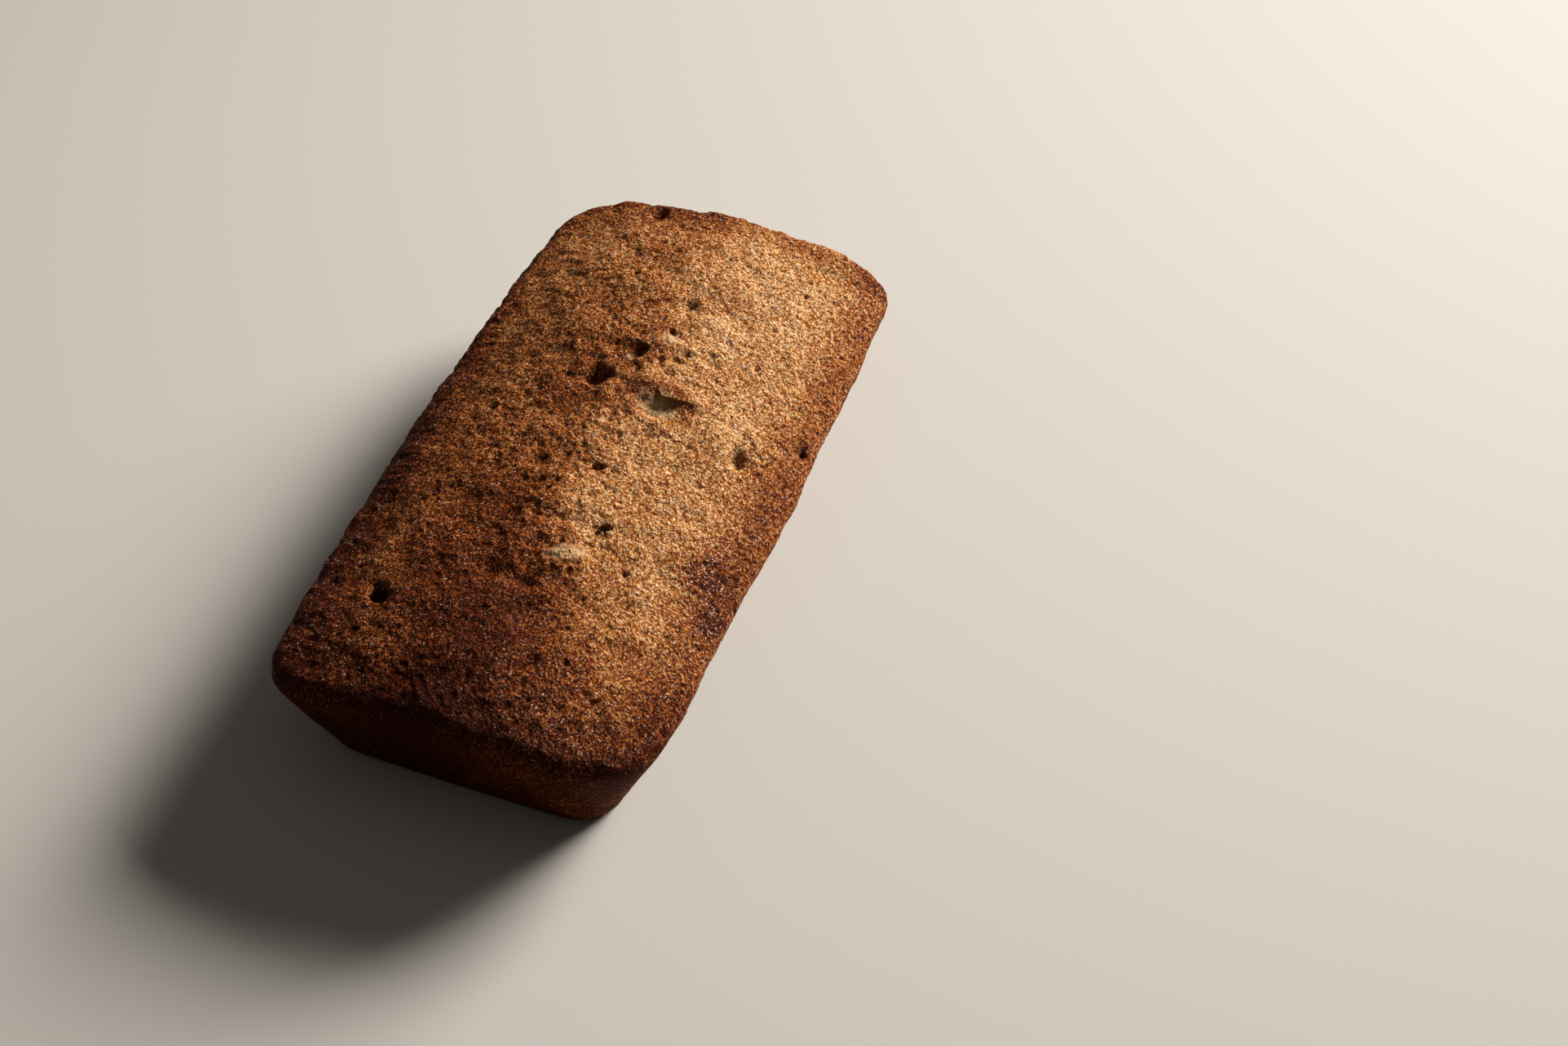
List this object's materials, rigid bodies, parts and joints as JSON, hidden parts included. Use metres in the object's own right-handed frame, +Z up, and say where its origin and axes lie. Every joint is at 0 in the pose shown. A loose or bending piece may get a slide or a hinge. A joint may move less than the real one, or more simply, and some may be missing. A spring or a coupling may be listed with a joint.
{
  "type": "financier almond cake",
  "caption": "Small bar-shaped almond cake with slanted sides, a flat underside and a long risen crown with a bumpy browned crust, burst bubbles and a sunken crater.",
  "frame": {"origin": "middle of the flat underside, on the surface the cake stands on", "axes": "+X along the length towards the end with the lightly browned edge, +Y across the width towards the side with the large round bubble, +Z up out of the crown"},
  "size_m": [0.085, 0.0442, 0.0195],
  "materials": {
    "crust": "golden to reddish brown baked crust, finely pitted, with a soft sugary sheen"
  },
  "bodies": {
    "root": {"cake": "crust"}
  },
  "joints": []
}
